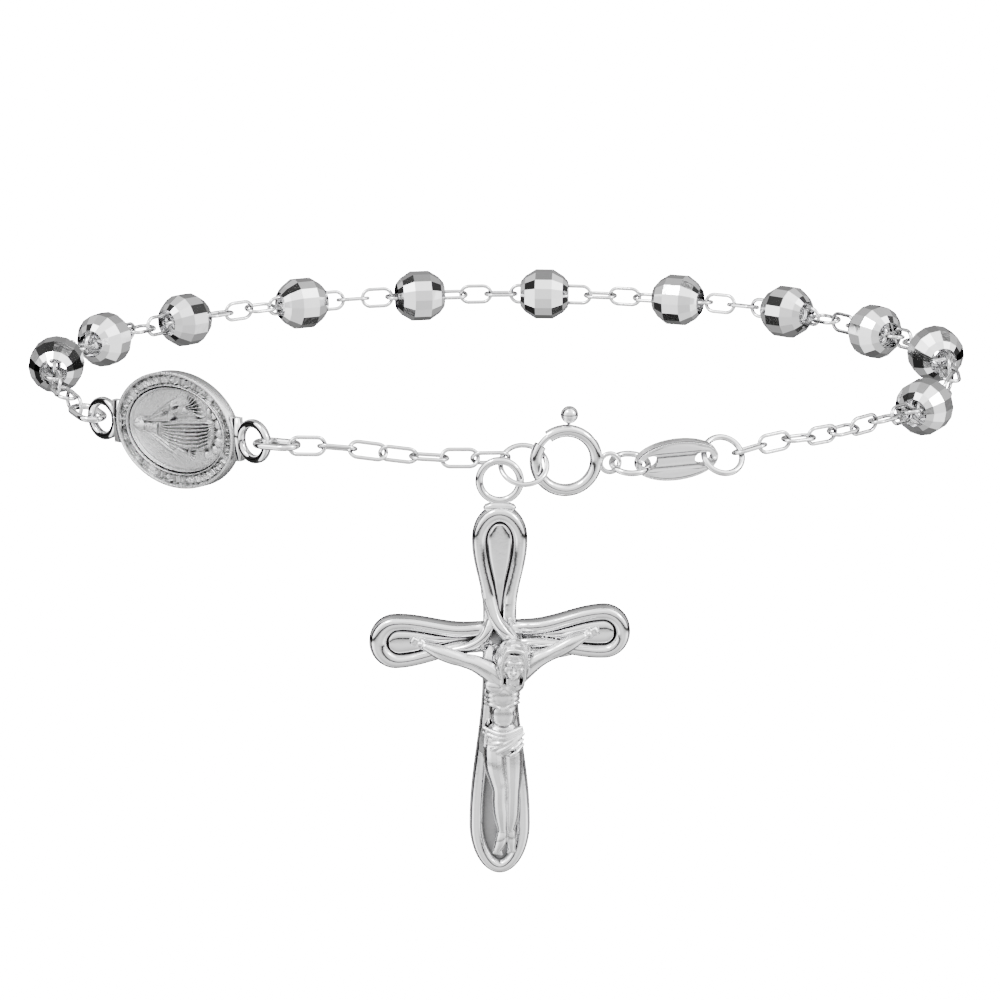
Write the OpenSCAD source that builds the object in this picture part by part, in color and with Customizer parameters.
// Rosary bracelet: eleven faceted beads on an oval-link chain, an oval medal,
// a spring ring clasp with a tag plate and a hanging crucifix. Millimetres.
// Frame: the middle of the wrist opening is the origin, Z is up, -Y is the front.

/* [Beads] */
// Width of a bead across its flat middle band
bead_width = 3.94; // [3.6:0.02:4.3]
// Length of a bead along its hole
bead_length = 3.74; // [3.4:0.02:4.1]
// Diameter of the drilled hole
bead_hole = 2.0; // [1.96:0.01:2.1]
// Number of facets round a bead
bead_facets = 16; // [12:2:20]
// Wall left round the hollow inside a bead
bead_wall = 0.42; // [0.36:0.02:0.6]

/* [Chain] */
// Wire diameter of the small links
link_wire = 0.28; // [0.2:0.01:0.31]
// Outside width of the links that carry the beads
bead_link_width = 1.6; // [1.5:0.01:1.62]
// Outside width of the links without beads
plain_link_width = 1.45; // [1.35:0.01:1.55]
// Length that one link adds to a chain
link_pitch = 1.95; // [1.85:0.01:2.1]
// Length that one link adds to the chain between medal and jump ring
front_pitch = 2.12; // [2.1:0.01:2.2]
// Clear gap between two links that hook into each other
hook_gap = 0.13; // [0.12:0.01:0.16]

/* [Medal] */
// Width of the oval medal
medal_width = 11.6; // [11.2:0.1:12.2]
// Height of the oval medal
medal_height = 8.1; // [7.6:0.1:8.6]
// Thickness of the medal at its rim
medal_thickness = 0.9; // [0.8:0.05:1.2]
// Width of the lettering band between the edge and the inner oval
medal_band = 0.95; // [0.85:0.05:1.1]
// Outside diameter of the medal's two loops
medal_loop_width = 3.05; // [2.9:0.05:3.3]
// Hole diameter of the medal's two loops
medal_loop_hole = 1.9; // [1.75:0.05:2.0]
// Outside length of the large links at the medal
large_link_length = 3.4; // [3.2:0.05:3.7]
// Outside width of the large links at the medal
large_link_width = 2.2; // [2.1:0.05:2.4]
// Wire diameter of the large links
large_link_wire = 0.45; // [0.36:0.01:0.48]

/* [Rings and clasp] */
// Outside diameter of the jump ring
jump_ring_width = 3.5; // [3.45:0.01:3.7]
// Wire diameter of the jump ring
jump_ring_wire = 0.36; // [0.28:0.01:0.38]
// Outside diameter of the spring ring
spring_ring_width = 4.98; // [4.9:0.02:5.3]
// Tube diameter of the spring ring
spring_ring_tube = 0.86; // [0.82:0.01:0.9]
// Diameter of the sliding bolt
latch_wire = 0.44; // [0.38:0.01:0.46]
// Diameter of the thumb ball
thumb_ball = 1.2; // [1.1:0.02:1.3]
// Outside diameter of the ring between clasp and tag
link_ring_width = 2.9; // [2.75:0.05:3.1]
// Outside diameter of the ring between tag and chain
tag_ring_width = 3.15; // [3.0:0.05:3.4]
// Wire diameter of both of these rings
small_ring_wire = 0.43; // [0.36:0.01:0.45]

/* [Tag] */
// Length of the tag plate
tag_length = 6.0; // [5.8:0.1:6.3]
// Height of the tag plate
tag_height = 3.2; // [3.0:0.1:3.5]
// Thickness of the tag plate
tag_thickness = 0.55; // [0.45:0.05:0.6]

/* [Crucifix] */
// Height of the cross without its bail
cross_height = 26.0; // [25.0:0.1:27.0]
// Span of the cross over its two arms
cross_span = 17.7; // [17.0:0.1:18.4]
// Width of an arm at its widest place
arm_width = 3.65; // [3.4:0.05:3.9]
// Thickness of the plate of the cross
cross_plate = 0.7; // [0.6:0.05:0.9]
// Height of the raised border over the plate
border_rise = 0.5; // [0.4:0.05:0.6]
// Width of the raised border
border_width = 0.92; // [0.8:0.02:1.0]
// Outside diameter of the bail ring
bail_width = 3.3; // [3.25:0.01:3.45]
// Wire diameter of the bail ring
bail_wire = 0.54; // [0.46:0.01:0.56]

/* [Hidden] */
$fn = 48;
// Every joint of two solids that belong together sinks by this much
sink = 0.05;
// Lengths that touch end to end are rounded to this
grid = 0.001;
half_turn = 180;
quarter_turn = 90;
full_turn = 360;

// Places chosen for the loop of the bracelet
jump_ring_at = [1.6, -22.8, -2.25];
medal_at = [-22.09, -17.2, -1.12];
medal_azimuth = -42.4;
medal_elevation = 2.8;
bead_places = [
    [-31.97, -1.5, 0],
    [-29.32, 7.2, 0],
    [-23.85, 14.3, 0],
    [-15.29, 20.6, 0],
    [-6.24, 23.5, 0],
    [3.47, 24.2, 0],
    [13.78, 21.9, 0],
    [21.93, 17.3, 0],
    [28.02, 10.0, 0],
    [31.63, 0.9, 0.27],
    [29.97, -8.2, -1.58]
];
bead_count = len(bead_places);
// Point where the chain turns between the medal and bead 1
left_chain_place = [-31.55, -5.7, -0.55];
// Point where the chain swings out between beads 10 and 11
bulge_at = [32.3, -3.8, -0.6];
tag_chain_places = [
    [27.93, -11.6, -1.36],
    [25.19, -14.0, -1.52],
    [22.23, -16.3, -1.71],
    [18.72, -18.3, -1.73]
];
front_chain_places = [
    [-4.04, -22.8, -1.77],
    [-12.5, -23.4, -0.79]
];
// Turn of each front link about the chain, from the medal to the jump ring
front_turns = [0, 70, 140, 207, 273, 338, 43];
// Small change of turn along the other chains
turn_swing = 11;
turn_swing_step = 47;

// Directions of the clasp's pieces, as azimuth and elevation
to_spring_ring = [8.6, 4];
to_link_ring = [6.7, -4.4];
to_tag = [14.5, 1.5];
to_tag_ring = [19, 0.5];
to_tag_chain = [25, 4];
spring_ring_azimuth = 7.6;
jump_ring_turn = -46;
link_ring_turn = -71;
tag_turn = 20;
tag_ring_turn = -38;
hook_slack = 0.13;
tag_slack = 0.3;
front_hook_angle = 147;

function unit(v) = v / norm(v);
function dir(a) = [cos(a[1]) * cos(a[0]), cos(a[1]) * sin(a[0]), sin(a[1])];
function azimuth(d) = atan2(d[1], d[0]);
function elevation(d) = asin(d[2] / norm(d));

// Half lengths of the holes, from the middle to the inner side of the wire
jump_ring_inner = jump_ring_width / 2 - jump_ring_wire;
spring_ring_inner = spring_ring_width / 2 - spring_ring_tube;
link_ring_inner = link_ring_width / 2 - small_ring_wire;
tag_ring_inner = tag_ring_width / 2 - small_ring_wire;
large_link_inner = large_link_length / 2 - large_link_wire;
medal_loop_inner = medal_loop_hole / 2;

// Spring ring
spring_ring_r = (spring_ring_width - spring_ring_tube) / 2;
bolt_slack = 0.14;
latch_bore = latch_wire + bolt_slack;
mouth_start = 126;
mouth_end = 148;
latch_tip = 154;
latch_root = 78;
latch_travel = 45;
thumb_angle = 86;
slit_width = 0.36;
stem_wire = 0.24;
slit_margin = 8;
bore_margin = 3;
thumb_gap = 0.08;
thumb_r = spring_ring_width / 2 + thumb_gap + thumb_ball / 2;
eye_angle = -5;
eye_wire = 0.34;
eye_hole = 0.94;
eye_r = (eye_hole + eye_wire) / 2;
eye_at = spring_ring_width / 2 + eye_hole / 2 + sink;

// Walk from the jump ring to the right
spring_ring_at = jump_ring_at
    + dir(to_spring_ring) * (jump_ring_inner + spring_ring_inner - hook_slack);
link_ring_at = spring_ring_at
    + dir(to_link_ring) * (eye_at + eye_hole / 2 + link_ring_inner - hook_gap);
tag_wall = 0.45;
tag_inner = tag_length / 2 - tag_wall;
tag_at = link_ring_at + dir(to_tag) * (link_ring_inner + tag_inner - tag_slack);
tag_ring_at = tag_at + dir(to_tag_ring) * (tag_inner + tag_ring_inner - tag_slack);
tag_chain_end = tag_ring_at + dir(to_tag_chain) * (tag_ring_inner - hook_gap / 2);

// A point of the jump ring's plane, at an angle and a radius from its middle
function turned(v, t) =
    [v[0], v[1] * cos(t) - v[2] * sin(t), v[1] * sin(t) + v[2] * cos(t)];
function lifted(v, e) =
    [v[0] * cos(e) - v[2] * sin(e), v[1], v[0] * sin(e) + v[2] * cos(e)];
function swung(v, a) =
    [v[0] * cos(a) - v[1] * sin(a), v[0] * sin(a) + v[1] * cos(a), v[2]];
function on_jump_ring(a, r) = jump_ring_at
    + swung(lifted(turned([r * cos(a), 0, r * sin(a)], jump_ring_turn),
        to_spring_ring[1]), to_spring_ring[0]);

// Medal, its loops and large links
medal_dir = dir([medal_azimuth, medal_elevation]);
loop_gap = 0.14;
loop_reach = medal_width / 2 + medal_loop_width / 2 + loop_gap;
loop_right_at = medal_at + medal_dir * loop_reach;
loop_left_at = medal_at - medal_dir * loop_reach;
// The link goes round the loop's outer wall and keeps clear of it on all sides
loop_wall_r = (medal_loop_width + medal_loop_hole) / 4;
loop_wall_reach = 0.5;
large_hook = large_link_inner - loop_wall_reach;
// The chain pulls the right link this many times as strongly as the medal does
chain_pull = 2;
right_link_dir = unit(unit(front_chain_places[1] - loop_right_at) * chain_pull + medal_dir);
left_link_dir = unit(left_chain_place - loop_left_at);
right_link_at = loop_right_at + medal_dir * loop_wall_r + right_link_dir * large_hook;
left_link_at = loop_left_at - medal_dir * loop_wall_r + left_link_dir * large_hook;
large_reach = large_link_inner - hook_gap / 2;
front_start = right_link_at + right_link_dir * large_reach;
front_end = on_jump_ring(front_hook_angle, jump_ring_inner - hook_gap / 2);
bead_start = left_link_at + left_link_dir * large_reach;

// Smooth route through chosen points with a table of its length
route_steps = 12;
function chord(p, i) = norm(p[i + 1] - p[i]);
function heading(p, i) = unit(p[i + 1] - p[i]);
function tangent(p, i) =
    i == 0 ? heading(p, 0) :
    i == len(p) - 1 ? heading(p, i - 1) :
    unit(heading(p, i - 1) * chord(p, i) + heading(p, i) * chord(p, i - 1));
function hermite(a, b, ta, tb, t) =
    a * (2 * pow(t, 3) - 3 * pow(t, 2) + 1)
    + ta * (pow(t, 3) - 2 * pow(t, 2) + t)
    + b * (3 * pow(t, 2) - 2 * pow(t, 3))
    + tb * (pow(t, 3) - pow(t, 2));
function piece_of(p, u) = min(floor(u), len(p) - 2);
function on_route(p, u) =
    let (i = piece_of(p, u), c = chord(p, i))
    hermite(p[i], p[i + 1], tangent(p, i) * c, tangent(p, i + 1) * c, u - i);
function route_table(p) =
    [for (i = 0, s = 0; i <= (len(p) - 1) * route_steps;
        s = s + (i < (len(p) - 1) * route_steps
            ? norm(on_route(p, (i + 1) / route_steps) - on_route(p, i / route_steps))
            : 0),
        i = i + 1) [s, i / route_steps]];
function place(p, table, s) = on_route(p, lookup(s, table));
function hooks(p, pitch) =
    let (table = route_table(p),
        whole = table[len(table) - 1][0],
        n = round(whole / pitch))
    [for (i = [0:n]) place(p, table, whole * i / n)];

bead_route = concat([bead_start, left_chain_place], [for (i = [0:bead_count - 2]) bead_places[i]],
    [bulge_at], [bead_places[bead_count - 1]], tag_chain_places, [tag_chain_end]);
all_hooks = hooks(bead_route, link_pitch);
// The chain of the beads ends just behind bead 11 on its front side
front_side = tag_chain_places[0];
last_bead = bead_places[bead_count - 1];
split_at = last_bead + unit(front_side - last_bead) * (bead_length / 2 + link_pitch / 2);
hook_ranks = [for (i = [0:len(all_hooks) - 1]) norm(all_hooks[i] - split_at)];
split = search(min(hook_ranks), hook_ranks)[0];
bead_hooks = [for (i = [0:split]) all_hooks[i]];
tag_hooks = [for (i = [split:len(all_hooks) - 1]) all_hooks[i]];
front_hooks = hooks(concat([front_start],
    [front_chain_places[1], front_chain_places[0]], [front_end]), front_pitch);
function bead_index(i) = i < bead_count - 1 ? i + 2 : i + 3;

// Crucifix
bail_r = (bail_width - bail_wire) / 2;
bail_drop = 0.56;
bail_shift = -0.2;
hook_angle = 196;
jump_r = (jump_ring_width - jump_ring_wire) / 2;
crucifix_pivot = on_jump_ring(hook_angle, jump_r);
bail_at = crucifix_pivot + [bail_shift, 0, -bail_drop];
solder_height = 0.1;
solder_width = 2.1;
cross_top = -(bail_width / 2 + solder_height);
// Share of the height that lies above the crossing of the cross
crossing_share = 0.352;
cross_middle = cross_top - cross_height * crossing_share;
arm_tilt = 3;
crossing_r = 1.75;
// The raised field inside each loop and the groove round it
pillow_rise = 0.2;
pillow_gap = 0.3;
loop_points = 18;
top_length = cross_top - cross_middle;
foot_length = cross_height - top_length;
arm_length = cross_span / 2;
arm_half = arm_width / 2;
// Loops of the cross: angle in the plane, length, half width, places of the widest
// point and of the waist as shares of the length, share of the half width at the waist
cross_loops = [
    [90, top_length, arm_half * 1.02, 0.745, 0.2, 0.6],
    [-90, foot_length, arm_half * 1.13, 0.79, 0.16, 0.56],
    [arm_tilt, arm_length, arm_half, 0.8, 0.22, 0.56],
    [180 + arm_tilt, arm_length, arm_half, 0.8, 0.22, 0.56]
];

silver = [0.8, 0.8, 0.82];

module along(p, d, turn) {
    translate(p)
        rotate([turn, -elevation(d), azimuth(d)])
            children();
}

module face() {
    rotate([quarter_turn, 0, 0])
        children();
}

module ring(centre_r, wire) {
    face()
        rotate_extrude()
            translate([centre_r, 0])
                circle(d = wire);
}

module oval_link(inner_length, width, wire) {
    side = (width - wire) / 2;
    straight = round(((inner_length + wire) / 2 - side) / grid) * grid;
    for (a = [0, half_turn])
        rotate([0, a, 0]) {
            translate([straight, 0, 0])
                face()
                    rotate([0, 0, -quarter_turn])
                        rotate_extrude(angle = half_turn)
                            translate([side, 0])
                                circle(d = wire);
            translate([-straight, 0, side])
                rotate([0, quarter_turn, 0])
                    cylinder(h = 2 * straight, d = wire);
        }
}

module links(points, width, turns) {
    for (i = [0:len(points) - 2]) {
        step = points[i + 1] - points[i];
        along((points[i] + points[i + 1]) / 2, step, turns[i])
            oval_link(norm(step) + hook_gap, width, link_wire);
    }
}

function turns_from(first, n) =
    [for (i = [0:n])
        quarter_turn * ((i + first) % 2) + turn_swing * sin(turn_swing_step * (i + first))];

module bead_chain() {
    color(silver)
        links(bead_hooks, bead_link_width, turns_from(0, len(bead_hooks)));
}

module tag_chain() {
    color(silver)
        links(tag_hooks, plain_link_width, turns_from(split, len(tag_hooks)));
}

module front_chain() {
    color(silver)
        links(front_hooks, plain_link_width,
            [for (i = [0:len(front_hooks)]) front_turns[i % len(front_turns)]]);
}

// Facet rings of a bead: share of the half length, share of the half width
bead_rings = [
    [-1, 0.5],
    [-0.79, 0.735],
    [-0.35, 1],
    [0.35, 1],
    [0.79, 0.735],
    [1, 0.5]
];

module bead_body() {
    n = bead_facets;
    rings = len(bead_rings);
    points = [for (r = bead_rings) for (i = [0:n - 1])
        [r[1] * bead_width / 2 * cos(full_turn * i / n),
            r[1] * bead_width / 2 * sin(full_turn * i / n),
            r[0] * bead_length / 2]];
    sides = [for (k = [0:rings - 2]) for (i = [0:n - 1])
        [k * n + i, (k + 1) * n + i, (k + 1) * n + (i + 1) % n, k * n + (i + 1) % n]];
    caps = [[for (i = [0:n - 1]) i], [for (i = [0:n - 1]) rings * n - 1 - i]];
    polyhedron(points = points, faces = concat(sides, caps));
}

module bead(i) {
    k = bead_index(i);
    along(bead_route[k], tangent(bead_route, k), 0)
        rotate([0, quarter_turn, 0])
            color(silver)
                difference() {
                    bead_body();
                    cylinder(h = 2 * bead_length, d = bead_hole, center = true);
                    sphere(r = bead_width / 2 - bead_wall);
                }
}

module bead_01() {
    bead(0);
}

module bead_02() {
    bead(1);
}

module bead_03() {
    bead(2);
}

module bead_04() {
    bead(3);
}

module bead_05() {
    bead(4);
}

module bead_06() {
    bead(5);
}

module bead_07() {
    bead(6);
}

module bead_08() {
    bead(7);
}

module bead_09() {
    bead(8);
}

module bead_10() {
    bead(9);
}

module bead_11() {
    bead(10);
}

module large_link(p, d) {
    color(silver)
        along(p, d, quarter_turn)
            oval_link(large_link_length - 2 * large_link_wire,
                large_link_width, large_link_wire);
}

module medal_link_right() {
    large_link(right_link_at, right_link_dir);
}

module medal_link_left() {
    large_link(left_link_at, left_link_dir);
}

// Medal, drawn in its face: x to the right, y up, z to the viewer
medal_steps = 48;
field_depth = 0.34;
medal_field = medal_thickness - field_depth;
rim_width = 0.22;
loop_thickness = 0.6;
neck_width = 3.0;
neck_reach = 0.45;
neck_length = 0.8;
mark_count = 46;
mark_kinds = 3;
mark_height = 0.36;
mark_width = 0.14;
mark_rise = 0.04;

function oval(a, b) =
    [for (i = [0:medal_steps - 1])
        [a * cos(full_turn * i / medal_steps), b * sin(full_turn * i / medal_steps)]];

module oval_band(inset, band, height) {
    a = medal_width / 2 - inset;
    b = medal_height / 2 - inset;
    linear_extrude(height)
        difference() {
            polygon(oval(a, b));
            polygon(oval(a - band, b - band));
        }
}

module band_marks() {
    a = medal_width / 2 - rim_width - (medal_band - rim_width) / 2;
    b = medal_height / 2 - rim_width - (medal_band - rim_width) / 2;
    for (i = [0:mark_count - 1]) {
        t = full_turn * (i + 0.5) / mark_count;
        translate([a * cos(t), b * sin(t), medal_field - sink])
            rotate([0, 0, atan2(a * sin(t), b * cos(t))])
                translate([-mark_height / 2, -mark_width / 2, 0])
                    cube([mark_height, mark_width * (1 + i % mark_kinds), 2 * sink + mark_rise]);
    }
}

// The figure lies along the medal with its head to the left. Its table holds shares of
// the medal's half width and half height: start x, start y, end x, end y, radius at the
// start and at the end as shares of the half height
head_share = [-0.61, 0.02, 0.1];
veil_share = [-0.56, 0.04, 0.125];
robe_limbs = [
    [-0.42, 0.03, 0.56, 0.24, 0.085, 0.095],
    [-0.42, 0.0, 0.6, 0.09, 0.085, 0.1],
    [-0.42, -0.03, 0.6, -0.06, 0.085, 0.1],
    [-0.42, -0.06, 0.52, -0.22, 0.08, 0.09],
    [-0.5, 0.05, -0.3, 0.0, 0.1, 0.12],
    [-0.5, 0.11, -0.06, 0.38, 0.07, 0.13],
    [-0.5, -0.06, -0.09, -0.38, 0.06, 0.1],
    [-0.04, 0.3, 0.24, 0.36, 0.07, 0.05],
    [-0.04, -0.33, 0.16, -0.31, 0.06, 0.045]
];
ray_count = 4;
ray_width = 0.1;
ray_rise = 0.05;
ray_turn = 5;
// Shares of the half width and half height: start, side, step, length, loss of length
ray_share = [0.26, 0.36, 0.06, 0.22, 0.02];

// Round end of a limb: share of its radius past the end, share of its radius there
limb_end = [
    [0.55, 0.5],
    [0, 1]
];

// A limb from p to q, turned round its own axis, with a radius at both ends and between
module limb(p, q, ra, rm, rb) {
    d = q - p;
    length = norm(d);
    last = len(limb_end) - 1;
    translate(p)
        rotate([0, acos(d[2] / length), azimuth(d)])
            rotate_extrude()
                polygon(concat(
                    [[0, -ra * limb_end[0][0]]],
                    [for (e = limb_end) [ra * e[1], -ra * e[0]]],
                    [[rm, length / 2]],
                    [for (i = [last:-1:0]) [rb * limb_end[i][1], length + rb * limb_end[i][0]]],
                    [[0, length + rb * limb_end[0][0]]]));
}

module marian_figure() {
    a = medal_width / 2;
    b = medal_height / 2;
    for (h = [head_share, veil_share])
        translate([h[0] * a, h[1] * b, medal_field])
            sphere(r = h[2] * b);
    for (f = robe_limbs)
        limb([f[0] * a, f[1] * b, medal_field], [f[2] * a, f[3] * b, medal_field],
            f[4] * b, (f[4] + f[5]) / 2 * b, f[5] * b);
    for (s = [-1, 1])
        for (i = [0:ray_count - 1])
            translate([ray_share[0] * a,
                (head_share[1] + s * (ray_share[1] + ray_share[2] * i)) * b - ray_width / 2,
                medal_field - sink])
                rotate([0, 0, s * ray_turn * (i - 1)])
                    cube([(ray_share[3] - ray_share[4] * i) * a, ray_width, 2 * sink + ray_rise]);
}

module medal_loop() {
    difference() {
        union() {
            cylinder(h = loop_thickness, d = medal_loop_width);
            translate([-medal_loop_width / 2 - neck_reach, -neck_width / 2, 0])
                cube([neck_length, neck_width, loop_thickness]);
        }
        translate([0, 0, -sink])
            cylinder(h = loop_thickness + 2 * sink, d = medal_loop_hole);
    }
}

module medal() {
    color(silver)
        along(medal_at, medal_dir, 0)
            face()
                translate([0, 0, -medal_thickness / 2]) {
                    linear_extrude(medal_field)
                        polygon(oval(medal_width / 2, medal_height / 2));
                    oval_band(0, rim_width, medal_thickness);
                    oval_band(medal_band, rim_width, medal_thickness);
                    band_marks();
                    marian_figure();
                    for (end = [0, half_turn])
                        rotate([0, 0, end])
                            translate([loop_reach, 0, (medal_thickness - loop_thickness) / 2])
                                medal_loop();
                }
}

module jump_ring() {
    color(silver)
        along(jump_ring_at, dir(to_spring_ring), jump_ring_turn)
            ring(jump_r, jump_ring_wire);
}

module arc(from, to, centre_r, wire) {
    face()
        rotate([0, 0, from])
            rotate_extrude(angle = to - from)
                translate([centre_r, 0])
                    circle(d = wire);
}

module spring_ring_frame() {
    translate(spring_ring_at)
        rotate([0, 0, spring_ring_azimuth])
            children();
}

module spring_ring() {
    slit_from = thumb_angle - latch_travel - slit_margin;
    slit_to = thumb_angle + slit_margin;
    color(silver)
        spring_ring_frame() {
            difference() {
                arc(mouth_end, full_turn + mouth_start, spring_ring_r, spring_ring_tube);
                arc(mouth_end - bore_margin, latch_tip + bore_margin, spring_ring_r, latch_bore);
                arc(latch_root - latch_travel - bore_margin, mouth_start + bore_margin,
                    spring_ring_r, latch_bore);
                face()
                    rotate([0, 0, slit_from])
                        rotate_extrude(angle = slit_to - slit_from)
                            translate([spring_ring_r, -slit_width / 2])
                                square([spring_ring_tube, slit_width]);
            }
            rotate([0, -eye_angle, 0])
                translate([eye_at, 0, 0])
                    ring(eye_r, eye_wire);
        }
}

module latch() {
    color(silver)
        spring_ring_frame() {
            arc(latch_root, latch_tip, spring_ring_r, latch_wire);
            rotate([0, -thumb_angle, 0]) {
                translate([spring_ring_r, 0, 0])
                    rotate([0, quarter_turn, 0])
                        cylinder(h = thumb_r - spring_ring_r, d = stem_wire);
                translate([thumb_r, 0, 0])
                    sphere(d = thumb_ball);
            }
        }
}

module link_ring() {
    color(silver)
        along(link_ring_at, dir(to_tag), link_ring_turn)
            ring((link_ring_width - small_ring_wire) / 2, small_ring_wire);
}

module tag_ring() {
    color(silver)
        along(tag_ring_at, dir(to_tag_ring), tag_ring_turn)
            ring((tag_ring_width - small_ring_wire) / 2, small_ring_wire);
}

// Tag plate in its face: a lens with a hole at each end and a hollow between
slot_height = 1.12;
slot_start = 1.35;
channel_r = 1.1;
channel_depth = 0.2;
tag_edge = 0.16;

module tag() {
    slot_length = tag_inner - slot_start;
    color(silver)
        along(tag_at, dir(to_tag_ring), tag_turn)
            face()
                difference() {
                    union() {
                        for (k = [0, 1])
                            translate([0, 0, -tag_thickness / 2 + k * tag_edge / 2])
                                linear_extrude(tag_thickness - k * tag_edge)
                                    polygon(oval(tag_length / 2 - (1 - k) * tag_edge,
                                        tag_height / 2 - (1 - k) * tag_edge));
                    }
                    for (s = [-1, 1])
                        hull()
                            for (e = [slot_height / 2, slot_length - slot_height / 2])
                                translate([s * (slot_start + e), 0, -tag_thickness])
                                    cylinder(h = 2 * tag_thickness, d = slot_height);
                    translate([-slot_start - slot_length / 2, 0,
                        tag_thickness / 2 + channel_r - channel_depth])
                        rotate([0, quarter_turn, 0])
                            cylinder(h = 2 * slot_start + slot_length, r = channel_r);
                }
}

// Half width of a loop of the cross at a share of its length
function loop_half(l, s) =
    let (wide = l[3], waist = l[4], low = l[5] * l[2])
    s >= wide ? l[2] * sqrt(max(0, 1 - pow((s - wide) / (1 - wide), 2))) :
    s <= waist ? low :
    low + (l[2] - low) * (1 - cos(half_turn * (s - waist) / (wide - waist))) / 2;

function loop_stations(l) =
    concat([0],
        [for (i = [0:loop_points]) l[4] + (l[3] - l[4]) * i / loop_points],
        [for (i = [1:loop_points / 2]) l[3] + (1 - l[3]) * sin(quarter_turn * i / (loop_points / 2))]);

function loop_outline(l) =
    let (s = loop_stations(l), n = len(s))
    concat([for (i = [0:n - 1]) [s[i] * l[1], loop_half(l, s[i])]],
        [for (i = [n - 2:-1:0]) [s[i] * l[1], -loop_half(l, s[i])]]);

// The hollow keeps the border's width from the outline and starts at the waist
function hollow_outline(l, inset) =
    let (n = loop_points,
        tip = l[1] - inset,
        start = l[4] * l[1] + inset / 2,
        wide = l[3] * l[1],
        top = l[2] - inset,
        xs = concat([for (i = [1:n]) start + (wide - start) * i / n],
            [for (i = [1:n / 2]) wide + (tip - wide) * sin(quarter_turn * i / (n / 2))]),
        half = [for (x = xs) x >= wide
            ? top * sqrt(max(0, 1 - pow((x - wide) / (tip - wide), 2)))
            : top * (1 - cos(half_turn * (x - start) / (wide - start))) / 2],
        m = len(xs))
    concat([[start, 0]], [for (i = [0:m - 1]) [xs[i], half[i]]],
        [for (i = [m - 2:-1:0]) [xs[i], -half[i]]]);

module cross_body() {
    for (l = cross_loops)
        rotate([0, 0, l[0]])
            difference() {
                linear_extrude(cross_plate + border_rise)
                    polygon(loop_outline(l));
                translate([0, 0, cross_plate])
                    linear_extrude(2 * border_rise)
                        polygon(hollow_outline(l, border_width));
            }
    cylinder(h = cross_plate + border_rise, r = crossing_r);
    for (l = cross_loops)
        rotate([0, 0, l[0]])
            translate([0, 0, cross_plate - sink])
                linear_extrude(pillow_rise + sink)
                    polygon(hollow_outline(l, border_width + pillow_gap));
}

// Corpus, in the face of the cross: its places are shares of its own height, right, up
// and forward from the crossing, and the arms reach shares of the span of the cross
figure_share = 0.545;
figure_height = cross_height * figure_share;
figure_lift = 0.4;
body_front = cross_plate + border_rise + figure_lift;
function on_figure(v) = [0, 0, body_front] + figure_height * v;
function on_arms(v) = [v[0] * cross_span, v[1] * figure_height, body_front + v[2] * figure_height];
head_place = on_figure([0.071, -0.088, 0.046]);
neck_place = on_figure([0.049, -0.19, 0.02]);
shoulder_left = on_figure([-0.042, -0.138, 0.01]);
shoulder_right = on_figure([0.124, -0.122, 0.01]);
elbow_left = on_arms([-0.17, -0.08, 0.011]);
elbow_right = on_arms([0.215, -0.045, 0.011]);
hand_left = on_arms([-0.305, -0.02, -0.004]);
hand_right = on_arms([0.349, 0.04, -0.004]);
chest = on_figure([0.024, -0.19, 0.012]);
waist = on_figure([0.019, -0.355, 0.004]);
cloth_top = on_figure([0.018, -0.42, 0.011]);
cloth_foot = on_figure([0.018, -0.53, 0.012]);
hip_left = on_figure([-0.028, -0.55, 0.018]);
hip_right = on_figure([0.06, -0.545, 0.011]);
drape_top = on_figure([-0.064, -0.42, 0.012]);
drape_end = on_figure([-0.07, -0.585, 0.004]);
knee_front = on_figure([0.008, -0.735, 0.05]);
knee_back = on_figure([0.068, -0.75, 0.03]);
ankle_front = on_figure([0.016, -0.955, 0.01]);
ankle_back = on_figure([0.055, -0.94, -0.004]);
toes_front = on_figure([-0.018, -1.045, 0.014]);
toes_back = on_figure([0.062, -1.045, 0.004]);
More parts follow.
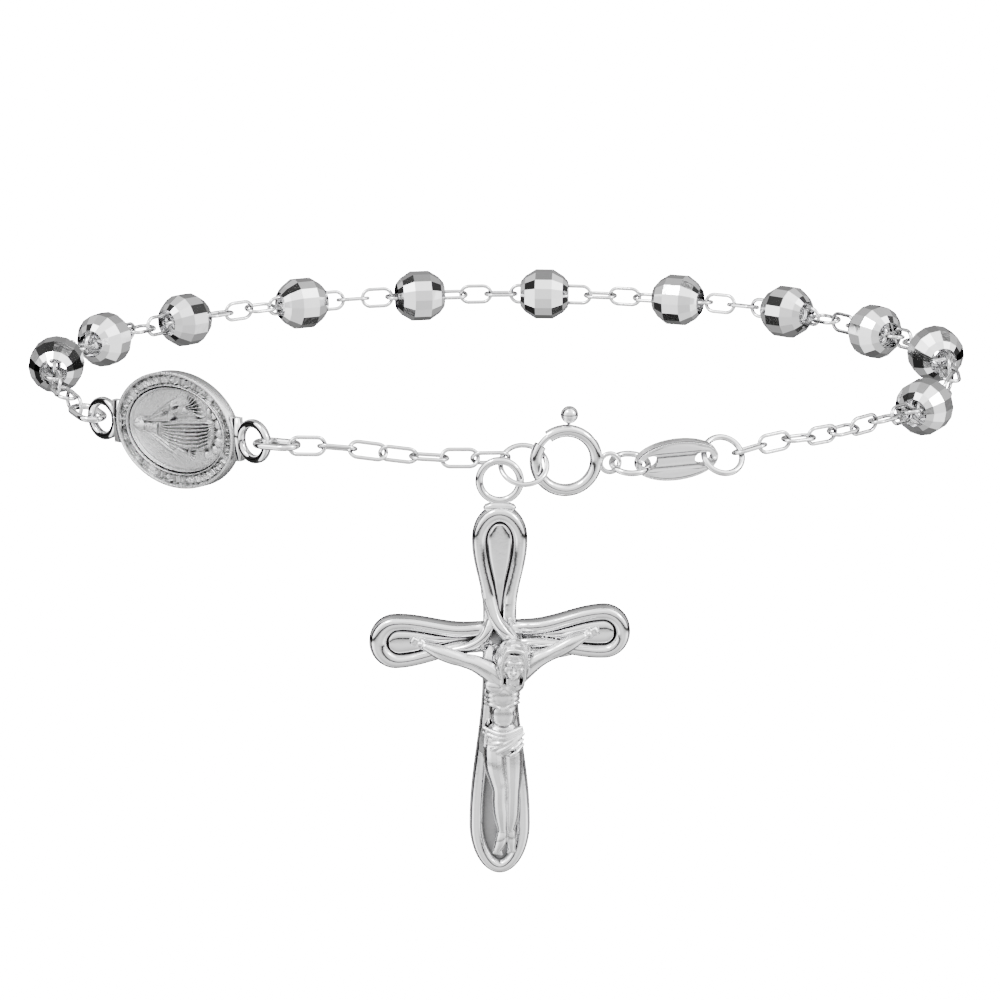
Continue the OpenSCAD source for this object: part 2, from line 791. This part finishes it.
// Limbs of the figure: from, to, radius at the start, in the middle and at the end
corpus_limbs = [
    [neck_place, head_place, 0.042, 0.038, 0.034],
    [shoulder_left, shoulder_right, 0.04, 0.052, 0.04],
    [chest, waist, 0.074, 0.087, 0.07],
    [waist, cloth_top, 0.062, 0.066, 0.07],
    [cloth_top, cloth_foot, 0.084, 0.095, 0.088],
    [drape_top, drape_end, 0.018, 0.023, 0.018],
    [shoulder_left, elbow_left, 0.034, 0.038, 0.031],
    [elbow_left, hand_left, 0.027, 0.029, 0.023],
    [shoulder_right, elbow_right, 0.034, 0.038, 0.031],
    [elbow_right, hand_right, 0.027, 0.029, 0.023],
    [hip_left, knee_front, 0.041, 0.04, 0.029],
    [hip_right, knee_back, 0.05, 0.047, 0.031],
    [knee_front, ankle_front, 0.027, 0.031, 0.021],
    [knee_back, ankle_back, 0.029, 0.033, 0.021],
    [ankle_front, toes_front, 0.018, 0.024, 0.018],
    [ankle_back, toes_back, 0.018, 0.024, 0.018]
];
// Head on plain proportions, from its middle: from, to, and the same three radii
head_lean = -4;
head_limbs = [
    [[0, -0.05, 0.012], [0, 0.034, 0], 0.048, 0.07, 0.058],
    [[0, -0.026, 0.056], [0, 0.012, 0.066], 0.012, 0.01, 0.007],
    [[-0.05, 0.024, -0.012], [-0.072, -0.105, -0.028], 0.03, 0.036, 0.02],
    [[0.05, 0.024, -0.012], [0.05, -0.095, -0.028], 0.028, 0.03, 0.018]
];
crown_place = [0, 0.046, -0.004];
crown_lean = -20;
crown_r = 0.07;
crown_wire = 0.032;
crown_sides = 8;

module corpus_head() {
    translate(head_place)
        rotate([0, 0, head_lean]) {
            for (l = head_limbs)
                limb(l[0] * figure_height, l[1] * figure_height,
                    l[2] * figure_height, l[3] * figure_height, l[4] * figure_height);
            translate(crown_place * figure_height)
                rotate([quarter_turn + crown_lean, 0, 0])
                    rotate_extrude()
                        translate([crown_r * figure_height, 0])
                            circle(d = crown_wire * figure_height, $fn = crown_sides);
        }
}

module corpus() {
    for (l = corpus_limbs)
        limb(l[0], l[1], l[2] * figure_height, l[3] * figure_height, l[4] * figure_height);
    corpus_head();
}

module crucifix() {
    color(silver)
        translate(bail_at)
            face() {
                rotate([-quarter_turn, 0, 0])
                    ring(bail_r, bail_wire);
                translate([-solder_width / 2, cross_top - 2 * sink, -bail_wire / 2])
                    cube([solder_width, bail_wire + 2 * sink, bail_wire + 2 * sink]);
                translate([0, cross_middle, -(cross_plate + border_rise) / 2]) {
                    cross_body();
                    corpus();
                }
            }
}

bead_01();
bead_02();
bead_03();
bead_04();
bead_05();
bead_06();
bead_07();
bead_08();
bead_09();
bead_10();
bead_11();
bead_chain();
tag_chain();
front_chain();
medal();
medal_link_left();
medal_link_right();
jump_ring();
crucifix();
spring_ring();
latch();
link_ring();
tag();
tag_ring();
